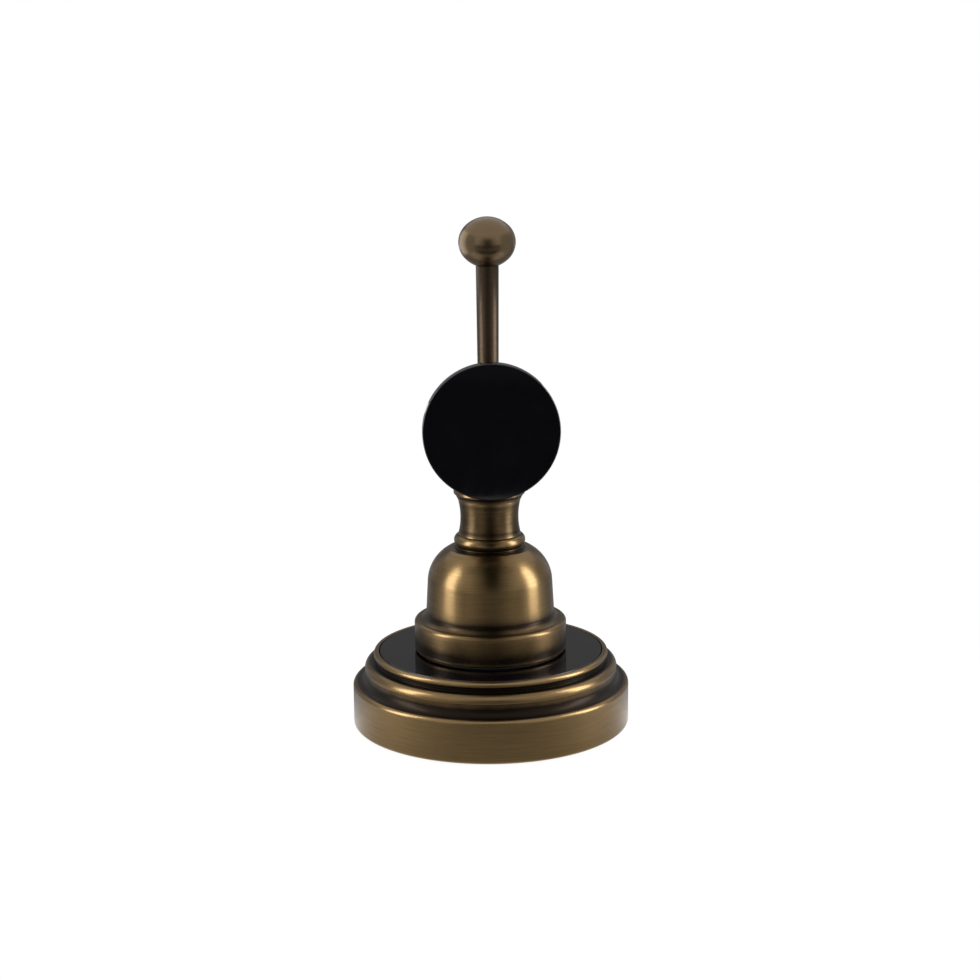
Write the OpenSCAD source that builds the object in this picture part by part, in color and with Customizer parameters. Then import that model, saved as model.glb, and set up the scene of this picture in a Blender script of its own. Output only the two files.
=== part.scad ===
// Robe hook: a ball-ended peg on a turned post, standing on a stepped wall rose.
// Millimetres. Origin at the centre of the rose's underside, +Z along the post, front disc towards -Y.

/* [Rose] */
// Diameter of the rose's drum
rose_d = 60; // [50:1:80]
// Height of the drum up to its flat top
drum_h = 9.2; // [8.6:0.1:11]
// Rounding of the drum's upper edge
drum_edge_r = 0.8; // [0.4:0.1:1]
// Rounding of the drum's lower edge
drum_foot_r = 0.5; // [0.2:0.1:1]
// Wall of the drum
drum_wall = 2.8; // [2:0.1:4]
// Radius of the cove above the drum
cove_r = 1.8; // [1.2:0.1:1.8]
// How far the ovolo stays inside the drum
ovolo_step = 2.6; // [2.4:0.1:3.5]
// Radius of the ovolo's round
ovolo_r = 1.45; // [1.2:0.05:1.6]
// How far the ovolo stands out over the cove
ovolo_lip = 0.05; // [0.05:0.05:0.6]
// How far the rim bead stays inside the drum
rim_step = 4.55; // [4.4:0.05:6]
// Radius of the rim bead's round
rim_r = 0.7; // [0.5:0.05:0.9]
// Depth of the quirk under the rim bead
quirk_depth = 0.55; // [0.4:0.05:0.6]
// Height of the quirk under the rim bead
quirk_h = 0.8; // [0.4:0.05:1]
// Height of the rim bead's top over the drum
rim_rise = 6.7; // [6.4:0.1:9]
// Thickness of the web that carries the inlay
rose_web = 2.6; // [1.8:0.1:3]
// Ledge inside the drum, beside the web
web_ledge = 3.7; // [3:0.1:5]
// Lead-in at the mouth of the drum's bore
bore_lead = 0.4; // [0.2:0.1:0.8]

/* [Inlay] */
// Thickness of the black glass ring
inlay_t = 3; // [2:0.1:3.6]
// Width of the rim between the glass and the rim bead's outside
inlay_rim = 1.35; // [1.2:0.05:1.6]
// Polished edge of the glass ring
inlay_edge_r = 0.4; // [0.1:0.1:0.6]
// Thickness of the rubber washer under the glass
cushion_t = 0.5; // [0.3:0.1:0.8]
// Thickness of the gasket under the bell
gasket_t = 0.3; // [0.2:0.1:0.5]
// How far the gasket stays inside the bell's flange
gasket_inset = 0.8; // [0.4:0.1:1.5]

/* [Bell] */
// Diameter of the bell's flange
flange_d = 32.9; // [31:0.1:40]
// Height of the bell's flange
flange_h = 6.7; // [5:0.1:9]
// Rounding of the flange's upper edge
flange_edge_r = 1.4; // [0.6:0.1:1.6]
// Radius of the cove between flange and bell
bell_cove_r = 1.1; // [0.6:0.1:1.1]
// Diameter of the bell's wall at its foot
bell_foot_d = 27.9; // [24:0.1:27.9]
// Diameter of the bell's wall where the dome begins
bell_spring_d = 26.94; // [22:0.02:27]
// Height from the flange's top to where the dome begins
bell_wall_h = 8.1; // [5:0.1:12]
// Radius of the dome's round
dome_r = 8.45; // [7:0.05:9.4]
// Height of the dome
dome_h = 8; // [6:0.1:8.2]
// Wall of the bell
bell_wall = 2.2; // [1.6:0.1:3]
// Diameter of the raised land that the lower collar stands on
bell_land_d = 14.2; // [12:0.1:14.8]
// Height of the raised land
bell_land_h = 0.5; // [0.3:0.1:0.8]

/* [Neck] */
// Diameter of the lower collar
lower_collar_d = 15.36; // [14:0.02:19]
// Height of the lower collar
lower_collar_h = 2.6; // [2:0.1:3.4]
// Diameter of the neck's waist
waist_d = 12.46; // [11:0.02:15]
// Radius of the waist's hollow
waist_r = 15; // [12:0.5:20]
// Height of the neck
neck_h = 7.6; // [6:0.1:12]
// Diameter of the upper collar
upper_collar_d = 15.3; // [14.5:0.1:18.4]
// Diameter of the upper collar where it stands on the neck
upper_collar_root_d = 12.9; // [11:0.1:13.4]
// Height of the upper collar's flared lip
upper_collar_h = 2.2; // [1.8:0.1:3]
// Height of the lip's outer edge
lip_edge_h = 1; // [0.8:0.1:1.4]
// Rounding of the lip's outer edge
lip_edge_r = 0.3; // [0.1:0.1:0.4]

/* [Head] */
// Diameter of the ball hub
head_d = 24; // [20:0.1:29]
// Thickness of the cup below the ball hub
cup_web = 2.35; // [1.5:0.05:3]
// Diameter of the cup at the ball hub
cup_d = 13; // [11:0.1:14]
// Radius of the hollow round the cup
cup_hollow_r = 3.4; // [2.8:0.1:4.2]
// Diameter of the flat that the peg stands on
peg_flat_d = 5.6; // [5.4:0.1:8]

/* [Front disc] */
// Diameter of the black glass disc
disc_d = 28.7; // [24:0.1:35]
// Thickness of the black glass disc
disc_t = 3; // [2:0.1:4]
// Polished edge of the glass disc
disc_edge_r = 0.4; // [0.2:0.1:0.8]
// Air between the upper collar and the back of the glass disc
disc_gap = 1.75; // [1:0.05:3]
// How far the brass plate behind the glass stands out past the ball hub
backplate_lip = 0.6; // [0.2:0.05:1.2]
// Thickness of the brass plate
backplate_t = 2.4; // [2.2:0.1:3.6]
// Chamfer round the back of the brass plate
backplate_chamfer = 0.4; // [0.2:0.1:0.8]
// Diameter of the backplate screw
plate_screw_d = 4; // [3:0.1:4.8]
// Length of the backplate screw with its head
plate_screw_l = 8; // [6:0.1:9]
// Height of the backplate screw's countersunk head
plate_screw_head_h = 1.6; // [1.2:0.1:2]
// Width of the backplate screw's socket across its flats
plate_screw_socket = 2.5; // [2:0.1:3]
// Depth of the backplate screw's socket
plate_socket_depth = 2; // [1.2:0.1:2.4]

/* [Peg] */
// Diameter of the peg at the ball hub
peg_root_d = 4.48; // [4.2:0.02:5.4]
// Diameter of the peg at its ball
peg_tip_d = 4.82; // [4.2:0.02:6]
// Free length of the peg
peg_l = 21.6; // [15:0.1:40]
// Diameter of the threaded spigots at the peg's ends
spigot_d = 3.9; // [3:0.1:4.1]
// Length of the threaded spigots
spigot_l = 6; // [4:0.1:6.4]
// Diameter of the peg's ball
knob_d = 12.02; // [10:0.02:15]
// Height of the peg's ball
knob_h = 10.62; // [9:0.02:11.6]
// Radius of the round at the ball's sides
knob_side_r = 4.8; // [4:0.05:5]

/* [Fixings] */
// Diameter of the tie rod
tie_d = 6; // [5:0.1:7.2]
// Length of the tie rod inside the ball hub
tie_grip = 8; // [6:0.1:9]
// Length of the tie rod below its nut
tie_tail = 1.2; // [0.8:0.1:1.4]
// Width of the tie nut across its flats
nut_af = 10; // [10:0.1:13]
// Height of the tie nut
nut_h = 5; // [4:0.1:5.2]
// Diameter of the plain washer
washer_d = 16; // [14:0.1:18]
// Thickness of the plain washer
washer_t = 1.2; // [0.8:0.1:1.6]
// Diameter of the lock washer
lock_washer_d = 11; // [10:0.1:14]
// Thickness of the lock washer
lock_washer_t = 1; // [0.6:0.1:1.2]
// Width of the split in the lock washer
lock_washer_split = 0.8; // [0.4:0.1:1.2]
// Slant of the split in the lock washer, in degrees
lock_washer_slant = 25; // [0:1:40]
// Thickness of the wall bracket
bracket_t = 5.5; // [4.5:0.1:6]
// Chamfer round the bracket's upper edge, which guides the rose on
bracket_chamfer = 0.6; // [0.2:0.1:1]
// Hole in the middle of the bracket, round the tie nut
bracket_bore_d = 18; // [16:0.1:20]
// Diameter of the two wall screw holes
wall_screw_d = 4.5; // [4:0.1:5.5]
// Diameter of the wall screw countersinks
wall_screw_head_d = 8.4; // [7:0.1:9]
// Diameter of the grub screw
grub_d = 4; // [3:0.1:4.8]
// Width of the grub screw's socket across its flats
grub_socket = 2; // [1.5:0.1:2.4]
// Depth of the grub screw's socket
grub_socket_depth = 1.4; // [1:0.1:1.6]
// Height of the grub screw over the wall
grub_z = 3.2; // [2.8:0.1:3.6]
// Chamfer at the ends of rods and screws
screw_chamfer = 0.4; // [0.2:0.1:0.6]

/* [Clearances] */
// Room round a rod or screw in a plain hole
hole_clear = 0.2; // [0.1:0.05:0.4]
// Room round a screw in its thread
thread_clear = 0.05; // [0.02:0.01:0.1]
// Room between the rose and its bracket
bracket_clear = 0.2; // [0.1:0.05:0.4]
// Room between the ball hub and its cup
seat_clear = 0.05; // [0.02:0.01:0.1]
// Room round the glass ring in its recess
glass_clear = 0.2; // [0.05:0.05:0.3]

/* [Hidden] */
$fn = 128;

// Overlap that makes a cut pass a face cleanly
cut = 1;

brass = [0.46, 0.37, 0.23];
black_glass = [0.03, 0.03, 0.035];
zinc = [0.62, 0.63, 0.65];
dark_steel = [0.22, 0.22, 0.23];
rubber = [0.08, 0.08, 0.08];

// Radii of the rose
rose_r = rose_d / 2;
drum_bore_r = rose_r - drum_wall;
web_bore_r = drum_bore_r - web_ledge;
ovolo_out_r = rose_r - ovolo_step;
rim_out_r = rose_r - rim_step;
inlay_out_r = rim_out_r - inlay_rim;
bracket_r = drum_bore_r - bracket_clear;

// Heights of the rose, from its underside up
rim_top_z = drum_h + rim_rise;
recess_z = rim_top_z - inlay_t - cushion_t;
web_z = recess_z - rose_web;
ledge_z = bracket_t + hole_clear;
rim_mid_z = rim_top_z - rim_r;
quirk_z = rim_mid_z - rim_r;
ovolo_z = quirk_z - quirk_h - ovolo_r;

// Heights of the bell
bell_z = rim_top_z + gasket_t;
flange_z = bell_z + flange_h;
spring_z = flange_z + bell_wall_h;
bell_top_z = spring_z + dome_h;
dome_top_z = bell_top_z - bell_land_h;
dome_mid_r = bell_spring_d / 2 - dome_r;
bell_lean = (bell_foot_d - bell_spring_d) / 2 / bell_wall_h;
bell_bore_r = bell_spring_d / 2 - bell_wall;
inlay_in_r = bell_bore_r - glass_clear;

// Heights of the collars, the neck and the ball hub
neck_z = bell_top_z + lower_collar_h;
upper_collar_z = neck_z + neck_h;
cup_z = upper_collar_z + upper_collar_h;
head_r = head_d / 2;
head_z = cup_z + cup_web + head_r;
cup_top_z = head_z - sqrt(head_r ^ 2 - (cup_d / 2) ^ 2);
peg_z = head_z + sqrt(head_r ^ 2 - (peg_flat_d / 2) ^ 2);

// Places along Y of the disc's pieces
disc_back_y = upper_collar_d / 2 + disc_gap;
head_flat_y = disc_back_y - backplate_t;
backplate_d = head_d + 2 * backplate_lip;

// Peg and knob: the knob's outline is a four-centre oval of side and crown arcs
peg_top_z = peg_z + peg_l;
knob_side_mid = knob_d / 2 - knob_side_r;
knob_half = knob_h / 2;
knob_crown_r = (knob_side_mid ^ 2 + knob_half ^ 2 - knob_side_r ^ 2) / (2 * (knob_half - knob_side_r));
knob_drop = knob_crown_r - knob_half;
knob_tangent_r = knob_side_mid * knob_crown_r / (knob_crown_r - knob_side_r);
knob_seat = knob_half - (knob_crown_r - sqrt(knob_crown_r ^ 2 - (peg_tip_d / 2) ^ 2));
knob_z = peg_top_z + knob_seat;

// Stack of fixings under the rose's web
washer_z = web_z - washer_t;
lock_washer_z = washer_z - lock_washer_t;
nut_z = lock_washer_z - nut_h;
tie_end_z = nut_z - tie_tail;
tie_top_z = head_z - head_r + tie_grip;
tie_hole_r = tie_d / 2 + hole_clear;
tie_thread_r = tie_d / 2 + thread_clear;

// Corner radius of a hexagon that is one unit across its flats
hex_r = 1 / cos(30) / 2;

// Slope of the chamfer on a hexagon nut's corners, in degrees
nut_slope = 30;

// Grub screw, from just off the bracket to just under the drum's face
grub_tip = bracket_r + bracket_clear / 2;
grub_end = rose_r - bracket_clear;
grub_l = grub_end - grub_tip;

// Wall screws stand midway between the bracket's hole and its rim
wall_screw_x = (bracket_r + bracket_bore_d / 2) / 2;
wall_screw_sink = (wall_screw_head_d - wall_screw_d) / 2;

// Flat ring standing on height z
module ring(outer_r, inner_r, t, z) {
    translate([0, 0, z])
        difference() {
            cylinder(r = outer_r, h = t);
            translate([0, 0, -cut])
                cylinder(r = inner_r, h = t + 2 * cut);
        }
}

// Hole along +Z for the tie rod, from height z0 to z1
module tie_hole(z0, z1) {
    translate([0, 0, z0 - cut])
        cylinder(r = tie_hole_r, h = z1 - z0 + 2 * cut);
}

// Round bar along +Z with both ends chamfered
module bar(r, l) {
    rotate_extrude()
        polygon([
            [0, 0],
            [r - screw_chamfer, 0],
            [r, screw_chamfer],
            [r, l - screw_chamfer],
            [r - screw_chamfer, l],
            [0, l]
        ]);
}

// Half outline of a glass piece from inner_r to outer_r, its outer edges rounded
module glass_outline(inner_r, outer_r, t, edge_r) {
    translate([inner_r, 0])
        square([outer_r - edge_r - inner_r, t]);
    translate([inner_r, edge_r])
        square([outer_r - inner_r, t - 2 * edge_r]);
    for (z = [edge_r, t - edge_r])
        translate([outer_r - edge_r, z])
            circle(r = edge_r);
}

// Half outline of a disc with a half-round rim
module bead_outline(out_r, h) {
    square([out_r - h / 2, h]);
    translate([out_r - h / 2, h / 2])
        circle(r = h / 2);
}

// Concave corner of radius r, its straight sides along the axes
module cove_outline(r) {
    difference() {
        square(r);
        translate([r, r])
            circle(r = r);
    }
}

// Half outline of the drum, its upper and lower edges rounded
module drum_outline() {
    translate([0, drum_foot_r])
        square([rose_r, drum_h - drum_foot_r - drum_edge_r]);
    square([rose_r - drum_foot_r, drum_h - drum_edge_r]);
    translate([0, drum_h - drum_edge_r])
        square([rose_r - drum_edge_r, drum_edge_r]);
    translate([rose_r - drum_edge_r, drum_h - drum_edge_r])
        circle(r = drum_edge_r);
    translate([rose_r - drum_foot_r, drum_foot_r])
        circle(r = drum_foot_r);
}

// Half outline of the steps above the drum: cove, ovolo, quirk and rim bead
module steps_outline() {
    cove_wall_r = ovolo_out_r - ovolo_lip;
    square([cove_wall_r, ovolo_z]);
    translate([cove_wall_r, drum_h])
        cove_outline(cove_r);
    translate([ovolo_out_r - ovolo_r, ovolo_z])
        circle(r = ovolo_r);
    square([ovolo_out_r - ovolo_r, ovolo_z + ovolo_r]);
    square([rim_out_r - quirk_depth, rim_mid_z]);
    translate([rim_out_r - rim_r, rim_mid_z])
        circle(r = rim_r);
    square([rim_out_r - rim_r, rim_top_z]);
}

// Half outline of the hollow under the rose: lead-in, room for the bracket, room for the nut
module rose_hollow_outline() {
    polygon([
        [0, -cut],
        [drum_bore_r + bore_lead + cut, -cut],
        [drum_bore_r, bore_lead],
        [drum_bore_r, ledge_z],
        [web_bore_r, ledge_z],
        [web_bore_r, web_z],
        [0, web_z]
    ]);
}

// Stepped turned shell, hollow below for the bracket, recessed above for the glass ring
module rose() {
    color(brass)
    difference() {
        rotate_extrude()
            union() {
                drum_outline();
                steps_outline();
            }
        translate([0, 0, recess_z])
            cylinder(r = inlay_out_r + glass_clear, h = rim_top_z);
        rotate_extrude()
            rose_hollow_outline();
        tie_hole(web_z, recess_z);
        translate([0, 0, grub_z])
            rotate([-90, 0, 0])
                cylinder(r = grub_d / 2 + thread_clear, h = rose_r + cut);
    }
}

// Plate on the wall inside the rose, with two countersunk screw holes
module wall_bracket() {
    color(zinc)
    difference() {
        rotate_extrude()
            polygon([
                [bracket_bore_d / 2, 0],
                [bracket_r, 0],
                [bracket_r, bracket_t - bracket_chamfer],
                [bracket_r - bracket_chamfer, bracket_t],
                [bracket_bore_d / 2, bracket_t]
            ]);
        for (side = [-1, 1])
            translate([side * wall_screw_x, 0, 0]) {
                translate([0, 0, -cut])
                    cylinder(d = wall_screw_d, h = bracket_t + 2 * cut);
                translate([0, 0, bracket_t - wall_screw_sink])
                    cylinder(d1 = wall_screw_d, d2 = wall_screw_head_d, h = wall_screw_sink);
            }
    }
}

// Socket grub screw through the back of the drum
module rose_grub_screw() {
    color(dark_steel)
    translate([0, grub_tip, grub_z])
        rotate([-90, 0, 0])
            difference() {
                bar(grub_d / 2, grub_l);
                translate([0, 0, grub_l - grub_socket_depth])
                    cylinder(r = grub_socket * hex_r, h = grub_socket_depth + cut, $fn = 6);
            }
}

module inlay_cushion() {
    color(rubber)
        ring(inlay_out_r, inlay_in_r, cushion_t, recess_z);
}

module inlay_ring() {
    color(black_glass)
    translate([0, 0, recess_z + cushion_t])
        rotate_extrude()
            glass_outline(inlay_in_r, inlay_out_r, inlay_t, inlay_edge_r);
}

module bell_gasket() {
    color(rubber)
        ring(flange_d / 2 - gasket_inset, inlay_in_r, gasket_t, rim_top_z);
}

// Half outline of the bell's flange, its upper edge rounded, and the cove above it
module flange_outline() {
    flange_r = flange_d / 2;
    translate([0, bell_z])
        square([flange_r, flange_h - flange_edge_r]);
    translate([0, bell_z])
        square([flange_r - flange_edge_r, flange_h]);
    translate([flange_r - flange_edge_r, flange_z - flange_edge_r])
        circle(r = flange_edge_r);
    translate([bell_foot_d / 2 - bell_lean * bell_cove_r, flange_z])
        cove_outline(bell_cove_r);
}

// Half outline of a dome that springs at spring_z: crown round of radius r about dome_mid_r
module dome_outline(r, top_z) {
    intersection() {
        translate([dome_mid_r, spring_z])
            circle(r = r);
        translate([0, spring_z])
            square([dome_mid_r + r, top_z - spring_z]);
    }
    translate([0, spring_z])
        square([dome_mid_r, top_z - spring_z]);
}

// Half outline of the bell's outside
module bell_outline() {
    flange_outline();
    polygon([
        [0, bell_z],
        [bell_foot_d / 2, bell_z],
        [bell_foot_d / 2, flange_z],
        [bell_spring_d / 2, spring_z],
        [0, spring_z]
    ]);
    dome_outline(dome_r, dome_top_z);
    translate([0, dome_top_z])
        square([bell_land_d / 2, bell_land_h]);
}

// Half outline of the bell's hollow
module bell_hollow_outline() {
    translate([0, bell_z - cut])
        square([bell_bore_r, spring_z - bell_z + cut]);
    dome_outline(dome_r - bell_wall, bell_top_z - bell_wall);
}

// Domed turned shell, standing on the glass by its flange
module bell() {
    color(brass)
    difference() {
        rotate_extrude()
            bell_outline();
        rotate_extrude()
            bell_hollow_outline();
        tie_hole(bell_top_z - bell_wall, bell_top_z);
    }
}

module lower_collar() {
    color(brass)
    difference() {
        translate([0, 0, bell_top_z])
            rotate_extrude()
                bead_outline(lower_collar_d / 2, lower_collar_h);
        tie_hole(bell_top_z, neck_z);
    }
}

// Spool with a hollow waist
module neck() {
    color(brass)
    difference() {
        translate([0, 0, neck_z])
            rotate_extrude()
                difference() {
                    square([waist_d / 2 + neck_h / 2, neck_h]);
                    translate([waist_d / 2 + waist_r, neck_h / 2])
                        circle(r = waist_r);
                }
        tie_hole(neck_z, upper_collar_z);
    }
}

// Half outline of a lip that flares out from root_r to out_r, its outer edge rounded
module lip_outline(root_r, out_r, h) {
    edge_z = h - lip_edge_h;
    polygon([
        [0, 0],
        [root_r, 0],
        [out_r - lip_edge_r, edge_z],
        [out_r - lip_edge_r, h],
        [0, h]
    ]);
    translate([0, edge_z + lip_edge_r])
        square([out_r, lip_edge_h - 2 * lip_edge_r]);
    for (z = [edge_z + lip_edge_r, h - lip_edge_r])
        translate([out_r - lip_edge_r, z])
            circle(r = lip_edge_r);
}

// Flared lip with a cup above it, hollowed to seat the ball hub
module upper_collar() {
    cup_r = cup_d / 2;
    cup_rise = (cup_top_z - cup_z) / 2;
    hollow_x = cup_r + sqrt(cup_hollow_r ^ 2 - cup_rise ^ 2);
    color(brass)
    difference() {
        translate([0, 0, upper_collar_z])
            rotate_extrude() {
                lip_outline(upper_collar_root_d / 2, upper_collar_d / 2, upper_collar_h);
                difference() {
                    square([cup_r, cup_top_z - upper_collar_z]);
                    translate([hollow_x, upper_collar_h + cup_rise])
                        circle(r = cup_hollow_r);
                }
            }
        translate([0, 0, head_z])
            sphere(r = head_r + seat_clear);
        tie_hole(upper_collar_z, cup_top_z);
    }
}

module tie_rod() {
    color(zinc)
    translate([0, 0, tie_end_z])
        bar(tie_d / 2, tie_top_z - tie_end_z);
}

module tie_washer() {
    color(zinc)
        ring(washer_d / 2, tie_hole_r, washer_t, washer_z);
}

// Ring with a slanting split
module tie_lock_washer() {
    color(dark_steel)
    difference() {
        ring(lock_washer_d / 2, tie_hole_r, lock_washer_t, lock_washer_z);
        translate([0, 0, lock_washer_z + lock_washer_t / 2])
            rotate([lock_washer_slant, 0, 0])
                translate([0, -lock_washer_split / 2, -lock_washer_t - cut])
                    cube([lock_washer_d, lock_washer_split, 2 * lock_washer_t + 2 * cut]);
    }
}

// Hexagon nut, its corners chamfered by a double cone
module tie_nut() {
    cone_r = nut_af / 2 + nut_h / 2 / tan(nut_slope);
    color(zinc)
    translate([0, 0, nut_z])
        difference() {
            intersection() {
                cylinder(r = nut_af * hex_r, h = nut_h, $fn = 6);
                rotate_extrude()
                    polygon([[0, 0], [nut_af / 2, 0], [cone_r, nut_h / 2], [nut_af / 2, nut_h], [0, nut_h]]);
            }
            translate([0, 0, -cut])
                cylinder(r = tie_thread_r, h = nut_h + 2 * cut);
        }
}

// Ball hub: flat in front for the disc, flat on top for the peg, tapped on three sides
module head_ball() {
    color(brass)
    difference() {
        translate([0, 0, head_z])
            sphere(r = head_r);
        translate([-head_r, -head_flat_y - head_r, head_z - head_r])
            cube([2 * head_r, head_r, 2 * head_r]);
        translate([-head_r, -head_r, peg_z])
            cube([2 * head_r, 2 * head_r, head_r]);
        translate([0, 0, head_z - head_r - cut])
            cylinder(r = tie_thread_r, h = tie_grip + thread_clear + cut);
        translate([0, 0, peg_z - spigot_l - thread_clear])
            cylinder(r = spigot_d / 2 + thread_clear, h = spigot_l + head_r);
        translate([0, -head_flat_y, head_z])
            rotate([90, 0, 0])
                translate([0, 0, backplate_t - plate_screw_l - thread_clear])
                    cylinder(r = plate_screw_d / 2 + thread_clear, h = plate_screw_l + cut);
    }
}

// Turned shape that faces the viewer: its axis points along -Y, its back at y = -back
module facing_front(back) {
    translate([0, -back, head_z])
        rotate([90, 0, 0])
            children();
}

// Cone of the backplate screw's head, widened all round by room
module screw_cone(room) {
    shank_r = plate_screw_d / 2 + room;
    translate([0, 0, backplate_t - plate_screw_head_h])
        cylinder(r1 = shank_r, r2 = shank_r + plate_screw_head_h, h = plate_screw_head_h);
}

// Brass plate that carries the glass disc
module disc_backplate() {
    color(brass)
    facing_front(head_flat_y)
        difference() {
            rotate_extrude()
                polygon([
                    [0, 0],
                    [backplate_d / 2 - backplate_chamfer, 0],
                    [backplate_d / 2, backplate_chamfer],
                    [backplate_d / 2, backplate_t],
                    [0, backplate_t]
                ]);
            translate([0, 0, -cut])
                cylinder(r = plate_screw_d / 2 + hole_clear, h = backplate_t + 2 * cut);
            screw_cone(hole_clear);
        }
}

// Countersunk socket screw under the glass
module backplate_screw() {
    color(dark_steel)
    facing_front(head_flat_y)
        difference() {
            union() {
                translate([0, 0, backplate_t - plate_screw_l])
                    bar(plate_screw_d / 2, plate_screw_l);
                screw_cone(0);
            }
            translate([0, 0, backplate_t - plate_socket_depth])
                cylinder(r = plate_screw_socket * hex_r, h = plate_socket_depth + cut, $fn = 6);
        }
}

// Black glass disc with rounded edges
module front_disc() {
    color(black_glass)
    facing_front(disc_back_y)
        rotate_extrude()
            glass_outline(0, disc_d / 2, disc_t, disc_edge_r);
}

// Slim rod, a little thicker towards its ball, with a spigot at each end
module peg_rod() {
    color(brass)
    union() {
        translate([0, 0, peg_z])
            cylinder(d1 = peg_root_d, d2 = peg_tip_d, h = peg_l);
        translate([0, 0, peg_z - spigot_l])
            bar(spigot_d / 2, peg_l + 2 * spigot_l);
    }
}

// Flattened ball with a seat and a blind hole for the peg
module peg_ball() {
    color(brass)
    difference() {
        translate([0, 0, knob_z])
            rotate_extrude()
                intersection() {
                    translate([0, -knob_half])
                        square([knob_d, knob_h]);
                    union() {
                        translate([knob_side_mid, 0])
                            circle(r = knob_side_r);
                        intersection() {
                            translate([0, -knob_drop])
                                circle(r = knob_crown_r);
                            translate([0, knob_drop])
                                circle(r = knob_crown_r);
                            translate([0, -knob_half])
                                square([knob_tangent_r, knob_h]);
                        }
                    }
                }
        translate([0, 0, peg_top_z - knob_h])
            cylinder(r = knob_d, h = knob_h);
        translate([0, 0, peg_top_z - cut])
            cylinder(r = spigot_d / 2 + thread_clear, h = spigot_l + thread_clear + cut);
    }
}

wall_bracket();
rose();
rose_grub_screw();
inlay_cushion();
inlay_ring();
bell_gasket();
bell();
lower_collar();
neck();
upper_collar();
tie_rod();
tie_washer();
tie_lock_washer();
tie_nut();
head_ball();
disc_backplate();
backplate_screw();
front_disc();
peg_rod();
peg_ball();
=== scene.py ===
# %% [markdown]
# # A robe hook in antique brass and black glass
#
# The real hook is a stack of turned pieces that one threaded rod pulls together: a stepped rose, a ring of
# black glass, a bell, a bead, a waisted neck and a flared lip. On the lip sits a ball hub, which carries a
# glass disc in front and a slim peg on top. This lesson gives its solids finer surfaces and finishes.

import math

import bpy
import numpy as np
from mathutils import Matrix, Vector


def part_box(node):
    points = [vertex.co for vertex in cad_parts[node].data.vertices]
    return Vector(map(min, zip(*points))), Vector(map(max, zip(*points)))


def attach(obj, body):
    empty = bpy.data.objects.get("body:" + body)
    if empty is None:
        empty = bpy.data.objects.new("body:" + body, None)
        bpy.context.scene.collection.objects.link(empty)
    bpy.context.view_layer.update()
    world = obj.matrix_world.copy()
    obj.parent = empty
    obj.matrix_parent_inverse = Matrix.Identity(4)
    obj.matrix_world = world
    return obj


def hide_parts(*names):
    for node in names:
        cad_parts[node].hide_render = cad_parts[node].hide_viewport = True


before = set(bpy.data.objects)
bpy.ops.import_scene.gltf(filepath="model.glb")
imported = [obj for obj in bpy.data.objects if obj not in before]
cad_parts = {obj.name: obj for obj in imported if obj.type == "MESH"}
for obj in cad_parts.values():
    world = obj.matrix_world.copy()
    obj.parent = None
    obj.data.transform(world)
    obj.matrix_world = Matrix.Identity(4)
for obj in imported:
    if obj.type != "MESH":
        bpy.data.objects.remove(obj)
scene = bpy.context.scene
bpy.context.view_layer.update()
MM = 0.001

# %% [markdown]
# ## Camera
#
# A product photograph is taken from a little above with a long lens. A constraint could aim the camera, but
# turns written out are easier to tune: pitch, yaw and a small roll, because the real camera was not quite
# level. The focal length is known in pixels and becomes millimetres on the sensor.

# %% Camera
CAMERA_AWAY = 400 * MM
CAMERA_UP = 137.5 * MM
CAMERA_PITCH = math.radians(12.2)
CAMERA_ORBIT = math.radians(-3.0)
CAMERA_YAW = math.radians(-0.025)
CAMERA_ROLL = math.radians(-0.5)
IMAGE_PX = 980
FOCAL_PX = 1911

camera_data = bpy.data.cameras.new("camera")
camera_data.lens = camera_data.sensor_width * FOCAL_PX / IMAGE_PX
camera = bpy.data.objects.new("camera", camera_data)
scene.collection.objects.link(camera)
camera.matrix_world = (
    Matrix.Rotation(CAMERA_ORBIT, 4, "Z")
    @ Matrix.Translation((0, -CAMERA_AWAY, CAMERA_UP))
    @ Matrix.Rotation(CAMERA_YAW, 4, "Z")
    @ Matrix.Rotation(math.pi / 2 - CAMERA_PITCH, 4, "X")
    @ Matrix.Rotation(CAMERA_ROLL, 4, "Z")
)
scene.camera = camera
print("camera lens in mm:", round(camera_data.lens, 1))

# %% [markdown]
# ## Outlines
#
# A turned piece is known by its outline: half of its cross-section, in millimetres, radius to the right and
# height upwards. A polishing wheel leaves no corner sharp, so a corner can carry its rounding; a Bevel
# modifier would give them all one radius. Mouldings such as beads and coves are arcs. An outline runs
# anticlockwise, up the outside and down the inside, so that its faces point outwards.

# %% Outline helpers
ARC_STEP = 4.0


def arc(centre, radius, start, end):
    """Points on a circle: centre plus radius times (cos, sin) of angles from start to end, in degrees."""
    angle = np.radians(np.linspace(start, end, int(abs(end - start) / ARC_STEP) + 2))
    return np.column_stack([centre[0] + radius * np.cos(angle), centre[1] + radius * np.sin(angle)])


def rounded(before, corner, after, radius):
    """The arc that touches both sides of a corner. Its centre lies on the bisector, at radius / sin(half the
    angle), and its points swing from one touching point to the other as a weighted sum of the two spokes."""
    to_before = (before - corner) / np.linalg.norm(before - corner)
    to_after = (after - corner) / np.linalg.norm(after - corner)
    half = math.acos(np.clip(to_before @ to_after, -1, 1)) / 2
    bisector = (to_before + to_after) / np.linalg.norm(to_before + to_after)
    centre = corner + bisector * radius / math.sin(half)
    first_spoke = corner + to_before * radius / math.tan(half) - centre
    last_spoke = corner + to_after * radius / math.tan(half) - centre
    sweep = math.pi - 2 * half
    share = np.linspace(0, 1, int(math.degrees(sweep) / ARC_STEP) + 2)[:, None]
    swung = np.sin((1 - share) * sweep) * first_spoke + np.sin(share * sweep) * last_spoke
    return centre + swung / math.sin(sweep)


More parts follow.
